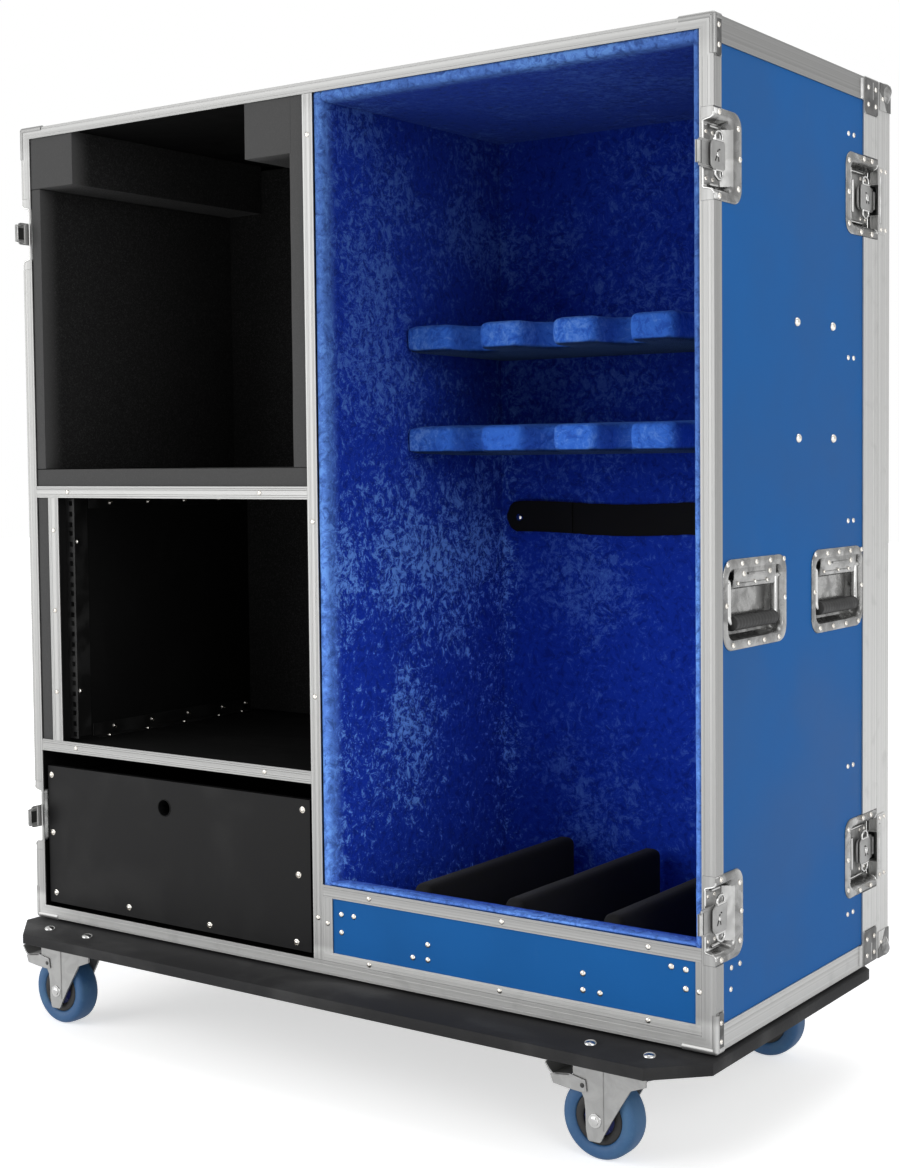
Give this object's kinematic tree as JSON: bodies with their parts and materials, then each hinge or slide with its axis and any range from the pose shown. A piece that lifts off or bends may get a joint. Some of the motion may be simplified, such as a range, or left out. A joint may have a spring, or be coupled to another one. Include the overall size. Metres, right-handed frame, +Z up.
{
  "type": "guitar flight case",
  "caption": "Open-fronted touring case on a castor board: a lined guitar bay with neck rests, an amplifier bay, a rack bay and a drawer, with a lift-off rear cover.",
  "frame": {"origin": "on the floor under the middle of the whole object, castor board included", "axes": "+X to the viewer's right facing the open front, +Y to the back, +Z up"},
  "size_m": [1.15, 0.5868, 1.3244],
  "materials": {
    "laminate_blue": "fine textured blue laminate on plywood",
    "board_black": "black painted plywood",
    "aluminium": "bright anodised extrusion with fine drawn lines",
    "plush_blue": "crushed royal blue plush",
    "foam_grey": "closed dark grey foam faced with felt",
    "divider_black": "black felt over foam",
    "webbing_black": "black webbing",
    "rack_black": "black powder coated steel",
    "steel_bright": "bright plated steel",
    "steel_zinc": "zinc plated pressed steel",
    "tyre_blue": "elastic blue tyre on a black nylon hub"
  },
  "bodies": {
    "shell": {"left_panel": "laminate_blue", "right_panel": "laminate_blue", "top_panel": "laminate_blue", "bottom_panel": "laminate_blue", "centre_wall": "board_black", "amp_shelf": "board_black", "rack_shelf": "board_black", "rack_partition": "board_black", "guitar_back": "laminate_blue", "fascia_panel": "laminate_blue", "front_frame": "aluminium", "front_trim": "aluminium", "edge_frame": "aluminium", "plush_lining": "plush_blue", "amp_foam": "foam_grey", "rack_foam": "foam_grey", "rack_rail_left": "rack_black", "rack_rail_right": "rack_black", "neck_rest_upper": "plush_blue", "neck_rest_lower": "plush_blue", "neck_strap": "webbing_black", "foam_divider_1": "divider_black", "foam_divider_2": "divider_black", "foam_divider_3": "divider_black", "castor_board": "board_black"},
    "drawer": {"drawer_box": "board_black", "drawer_front": "board_black"},
    "rear_cover": {"cover_panel": "laminate_blue", "cover_frame": "aluminium", "cover_foam": "foam_grey"},
    "latch_wing_front_left_top": {"latch_wing_front_left_top": "steel_bright"},
    "latch_hook_front_left_top": {"latch_hook_front_left_top": "steel_bright"},
    "latch_wing_front_left_bottom": {"latch_wing_front_left_bottom": "steel_bright"},
    "latch_hook_front_left_bottom": {"latch_hook_front_left_bottom": "steel_bright"},
    "latch_wing_front_right_top": {"latch_wing_front_right_top": "steel_bright"},
    "latch_hook_front_right_top": {"latch_hook_front_right_top": "steel_bright"},
    "latch_wing_front_right_bottom": {"latch_wing_front_right_bottom": "steel_bright"},
    "latch_hook_front_right_bottom": {"latch_hook_front_right_bottom": "steel_bright"},
    "latch_wing_rear_left_top": {"latch_wing_rear_left_top": "steel_bright"},
    "latch_hook_rear_left_top": {"latch_hook_rear_left_top": "steel_bright"},
    "latch_wing_rear_left_bottom": {"latch_wing_rear_left_bottom": "steel_bright"},
    "latch_hook_rear_left_bottom": {"latch_hook_rear_left_bottom": "steel_bright"},
    "latch_wing_rear_right_top": {"latch_wing_rear_right_top": "steel_bright"},
    "latch_hook_rear_right_top": {"latch_hook_rear_right_top": "steel_bright"},
    "latch_wing_rear_right_bottom": {"latch_wing_rear_right_bottom": "steel_bright"},
    "latch_hook_rear_right_bottom": {"latch_hook_rear_right_bottom": "steel_bright"},
    "handle_left_front": {"handle_bail_left_front": "steel_bright"},
    "handle_left_rear": {"handle_bail_left_rear": "steel_bright"},
    "handle_right_front": {"handle_bail_right_front": "steel_bright"},
    "handle_right_rear": {"handle_bail_right_rear": "steel_bright"},
    "castor_front_left": {"castor_fork_front_left": "steel_zinc"},
    "wheel_front_left": {"castor_wheel_front_left": "tyre_blue"},
    "brake_front_left": {"brake_pedal_front_left": "steel_zinc"},
    "castor_front_right": {"castor_fork_front_right": "steel_zinc"},
    "wheel_front_right": {"castor_wheel_front_right": "tyre_blue"},
    "brake_front_right": {"brake_pedal_front_right": "steel_zinc"},
    "castor_rear_left": {"castor_fork_rear_left": "steel_zinc"},
    "wheel_rear_left": {"castor_wheel_rear_left": "tyre_blue"},
    "castor_rear_right": {"castor_fork_rear_right": "steel_zinc"},
    "wheel_rear_right": {"castor_wheel_rear_right": "tyre_blue"}
  },
  "joints": [
    {"name": "drawer_slide", "type": "slide", "parent": "shell", "child": "drawer", "axis": [0, -1, 0], "range_m": [0, 0.28]},
    {"name": "rear_cover_lift_off", "type": "slide", "parent": "shell", "child": "rear_cover", "axis": [0, 1, 0], "range_m": [0, 0.15]},
    {"name": "wing_turn_front_left_top", "type": "hinge", "parent": "shell", "child": "latch_wing_front_left_top", "pos_m": [-0.5661, -0.20145, 1.1661], "axis": [-1, 0, 0], "range_deg": [-180, 0]},
    {"name": "hook_slide_front_left_top", "type": "slide", "parent": "shell", "child": "latch_hook_front_left_top", "axis": [0, -1, 0], "range_m": [-0.012, 0]},
    {"name": "wing_turn_front_left_bottom", "type": "hinge", "parent": "shell", "child": "latch_wing_front_left_bottom", "pos_m": [-0.5661, -0.20145, 0.3015], "axis": [-1, 0, 0], "range_deg": [-180, 0]},
    {"name": "hook_slide_front_left_bottom", "type": "slide", "parent": "shell", "child": "latch_hook_front_left_bottom", "axis": [0, -1, 0], "range_m": [-0.012, 0]},
    {"name": "wing_turn_front_right_top", "type": "hinge", "parent": "shell", "child": "latch_wing_front_right_top", "pos_m": [0.5661, -0.20145, 1.1661], "axis": [1, 0, 0], "range_deg": [-180, 0]},
    {"name": "hook_slide_front_right_top", "type": "slide", "parent": "shell", "child": "latch_hook_front_right_top", "axis": [0, -1, 0], "range_m": [-0.012, 0]},
    {"name": "wing_turn_front_right_bottom", "type": "hinge", "parent": "shell", "child": "latch_wing_front_right_bottom", "pos_m": [0.5661, -0.20145, 0.3015], "axis": [1, 0, 0], "range_deg": [-180, 0]},
    {"name": "hook_slide_front_right_bottom", "type": "slide", "parent": "shell", "child": "latch_hook_front_right_bottom", "axis": [0, -1, 0], "range_m": [-0.012, 0]},
    {"name": "wing_turn_rear_left_top", "type": "hinge", "parent": "shell", "child": "latch_wing_rear_left_top", "pos_m": [-0.5661, 0.22355, 1.1661], "axis": [-1, 0, 0], "range_deg": [0, 180]},
    {"name": "hook_slide_rear_left_top", "type": "slide", "parent": "shell", "child": "latch_hook_rear_left_top", "axis": [0, 1, 0], "range_m": [0, 0.012]},
    {"name": "wing_turn_rear_left_bottom", "type": "hinge", "parent": "shell", "child": "latch_wing_rear_left_bottom", "pos_m": [-0.5661, 0.22355, 0.3015], "axis": [-1, 0, 0], "range_deg": [0, 180]},
    {"name": "hook_slide_rear_left_bottom", "type": "slide", "parent": "shell", "child": "latch_hook_rear_left_bottom", "axis": [0, 1, 0], "range_m": [0, 0.012]},
    {"name": "wing_turn_rear_right_top", "type": "hinge", "parent": "shell", "child": "latch_wing_rear_right_top", "pos_m": [0.5661, 0.22355, 1.1661], "axis": [1, 0, 0], "range_deg": [0, 180]},
    {"name": "hook_slide_rear_right_top", "type": "slide", "parent": "shell", "child": "latch_hook_rear_right_top", "axis": [0, 1, 0], "range_m": [0, 0.012]},
    {"name": "wing_turn_rear_right_bottom", "type": "hinge", "parent": "shell", "child": "latch_wing_rear_right_bottom", "pos_m": [0.5661, 0.22355, 0.3015], "axis": [1, 0, 0], "range_deg": [0, 180]},
    {"name": "hook_slide_rear_right_bottom", "type": "slide", "parent": "shell", "child": "latch_hook_rear_right_bottom", "axis": [0, 1, 0], "range_m": [0, 0.012]},
    {"name": "handle_swing_left_front", "type": "hinge", "parent": "shell", "child": "handle_left_front", "pos_m": [-0.5638, -0.11365, 0.6865], "axis": [0, 1, 0], "range_deg": [0, 90], "stiffness_Nm_per_rad": 0.12, "springref_deg": -17.19},
    {"name": "handle_swing_left_rear", "type": "hinge", "parent": "shell", "child": "handle_left_rear", "pos_m": [-0.5638, 0.12555, 0.6865], "axis": [0, 1, 0], "range_deg": [0, 90], "stiffness_Nm_per_rad": 0.12, "springref_deg": -17.19},
    {"name": "handle_swing_right_front", "type": "hinge", "parent": "shell", "child": "handle_right_front", "pos_m": [0.5638, -0.11365, 0.6865], "axis": [0, -1, 0], "range_deg": [0, 90], "stiffness_Nm_per_rad": 0.12, "springref_deg": -17.19},
    {"name": "handle_swing_right_rear", "type": "hinge", "parent": "shell", "child": "handle_right_rear", "pos_m": [0.5638, 0.12555, 0.6865], "axis": [0, -1, 0], "range_deg": [0, 90], "stiffness_Nm_per_rad": 0.12, "springref_deg": -17.19},
    {"name": "castor_swivel_front_left", "type": "hinge", "parent": "shell", "child": "castor_front_left", "pos_m": [-0.464, -0.22145, 0.1], "axis": [0, 0, 1], "continuous": true},
    {"name": "wheel_spin_front_left", "type": "hinge", "parent": "castor_front_left", "child": "wheel_front_left", "pos_m": [-0.504, -0.22145, 0.05], "axis": [0, 1, 0], "continuous": true},
    {"name": "brake_press_front_left", "type": "hinge", "parent": "castor_front_left", "child": "brake_front_left", "pos_m": [-0.52, -0.22145, 0.09], "axis": [0, -1, 0], "range_deg": [0, 8]},
    {"name": "castor_swivel_front_right", "type": "hinge", "parent": "shell", "child": "castor_front_right", "pos_m": [0.464, -0.22145, 0.1], "axis": [0, 0, 1], "continuous": true},
    {"name": "wheel_spin_front_right", "type": "hinge", "parent": "castor_front_right", "child": "wheel_front_right", "pos_m": [0.424, -0.22145, 0.05], "axis": [0, 1, 0], "continuous": true},
    {"name": "brake_press_front_right", "type": "hinge", "parent": "castor_front_right", "child": "brake_front_right", "pos_m": [0.408, -0.22145, 0.09], "axis": [0, -1, 0], "range_deg": [0, 8]},
    {"name": "castor_swivel_rear_left", "type": "hinge", "parent": "shell", "child": "castor_rear_left", "pos_m": [-0.464, 0.22055, 0.1], "axis": [0, 0, 1], "continuous": true},
    {"name": "wheel_spin_rear_left", "type": "hinge", "parent": "castor_rear_left", "child": "wheel_rear_left", "pos_m": [-0.504, 0.22055, 0.05], "axis": [0, 1, 0], "continuous": true},
    {"name": "castor_swivel_rear_right", "type": "hinge", "parent": "shell", "child": "castor_rear_right", "pos_m": [0.464, 0.22055, 0.1], "axis": [0, 0, 1], "continuous": true},
    {"name": "wheel_spin_rear_right", "type": "hinge", "parent": "castor_rear_right", "child": "wheel_rear_right", "pos_m": [0.424, 0.22055, 0.05], "axis": [0, 1, 0], "continuous": true}
  ],
  "couplings": [
    {"joint": "hook_slide_front_left_top", "follows": "wing_turn_front_left_top", "m_per_rad": 0.003819},
    {"joint": "hook_slide_front_left_bottom", "follows": "wing_turn_front_left_bottom", "m_per_rad": 0.003819},
    {"joint": "hook_slide_front_right_top", "follows": "wing_turn_front_right_top", "m_per_rad": 0.003819},
    {"joint": "hook_slide_front_right_bottom", "follows": "wing_turn_front_right_bottom", "m_per_rad": 0.003819},
    {"joint": "hook_slide_rear_left_top", "follows": "wing_turn_rear_left_top", "m_per_rad": 0.003819},
    {"joint": "hook_slide_rear_left_bottom", "follows": "wing_turn_rear_left_bottom", "m_per_rad": 0.003819},
    {"joint": "hook_slide_rear_right_top", "follows": "wing_turn_rear_right_top", "m_per_rad": 0.003819},
    {"joint": "hook_slide_rear_right_bottom", "follows": "wing_turn_rear_right_bottom", "m_per_rad": 0.003819}
  ]
}
